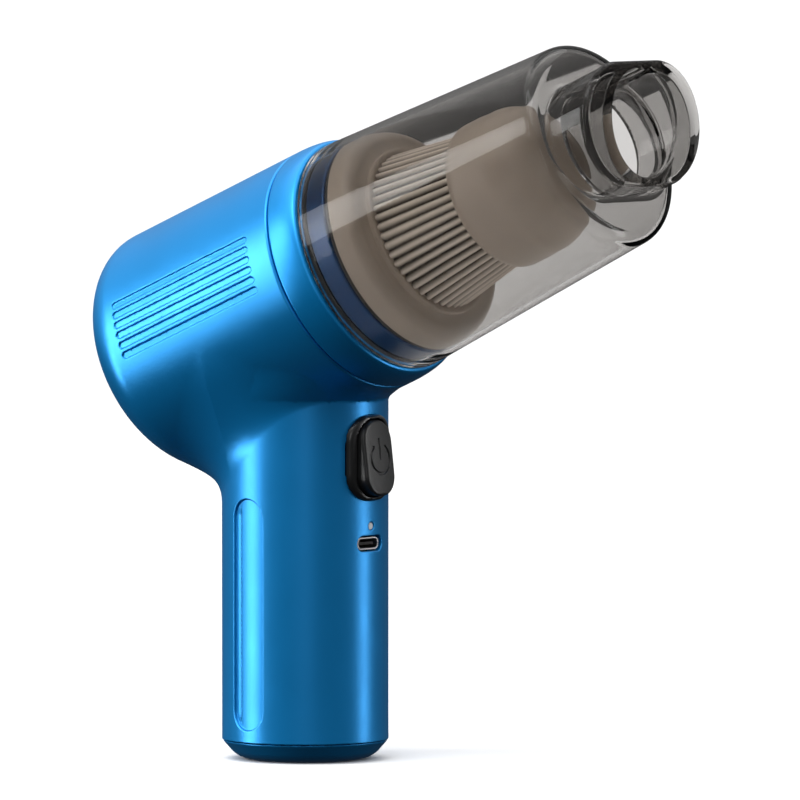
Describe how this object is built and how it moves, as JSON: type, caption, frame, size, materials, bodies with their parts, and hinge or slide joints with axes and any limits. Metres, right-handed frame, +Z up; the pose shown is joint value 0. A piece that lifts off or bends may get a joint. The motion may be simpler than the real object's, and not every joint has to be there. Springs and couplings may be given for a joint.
{
  "type": "cordless handheld vacuum cleaner",
  "caption": "Gun-shaped cordless hand vacuum with a blue body, upright handle, push button and a smoky clear dust cup with a racetrack inlet nozzle.",
  "frame": {"origin": "centre of the flat base under the handle", "axes": "+Z up along the handle, +X the way the nozzle points, +Y to the left of someone holding it"},
  "size_m": [0.1703, 0.0674, 0.1895],
  "materials": {
    "blue_shell": "satin metallic paint",
    "smoke_clear": "clear tinted plastic, polished",
    "filter_plastic": "smooth moulded plastic",
    "filter_paper": "pleated filter paper",
    "black_plastic": "satin moulded plastic",
    "black_rubber": "soft rubber",
    "foam": "open foam",
    "steel": "plated steel",
    "alloy": "pressed aluminium",
    "magnet": "sintered",
    "bronze": "sintered bronze",
    "cell_wrap": "shrink wrap on a steel can",
    "cradle_plastic": "moulded plastic",
    "board": "solder mask",
    "light_pipe": "clear rod",
    "red_wire": "insulated wire",
    "black_wire": "insulated wire"
  },
  "bodies": {
    "body": {"main_housing": "blue_shell", "front_collar": "blue_shell", "base_cover": "blue_shell", "base_screws": "steel", "exhaust_grille": "black_plastic", "exhaust_foam": "foam", "collar_screws": "steel", "cup_seal": "black_rubber", "motor_mount": "black_plastic", "motor_can": "steel", "motor_end_cap": "black_plastic", "motor_magnets": "magnet", "shaft_bushes": "bronze", "motor_screws": "steel", "fan_cover": "alloy", "fan_seal": "black_rubber", "cell_left": "cell_wrap", "cell_right": "cell_wrap", "battery_cradle": "cradle_plastic", "cell_links": "steel", "circuit_board": "board", "board_screws": "steel", "usb_shell": "steel", "usb_insert": "black_plastic", "status_light": "light_pipe", "power_switch": "black_plastic", "button_bezel": "black_plastic", "motor_lead_red": "red_wire", "motor_lead_black": "black_wire"},
    "cup": {"dust_cup": "smoke_clear"},
    "filter": {"filter_frame": "filter_plastic", "filter_pleats": "filter_paper", "filter_cap": "filter_plastic", "filter_seal": "black_rubber"},
    "rotor": {"motor_shaft": "steel", "motor_rotor": "steel", "impeller": "alloy"},
    "button": {"power_button": "black_plastic", "switch_plunger": "black_plastic"}
  },
  "joints": [
    {"name": "cup_pull", "type": "slide", "parent": "body", "child": "cup", "axis": [0.9205, 0, 0.3907], "range_m": [0, 0.13]},
    {"name": "filter_pull", "type": "slide", "parent": "body", "child": "filter", "axis": [0.9205, 0, 0.3907], "range_m": [0, 0.0586]},
    {"name": "motor_spin", "type": "hinge", "parent": "body", "child": "rotor", "pos_m": [0, 0, 0.1232], "axis": [0.9205, 0, 0.3907], "continuous": true},
    {"name": "button_press", "type": "slide", "parent": "body", "child": "button", "axis": [-1, 0, 0], "range_m": [0, 0.001], "stiffness_N_per_m": 1500}
  ],
  "couplings": [
    {"joint": "filter_pull", "follows": "cup_pull", "ratio": 0.45}
  ]
}
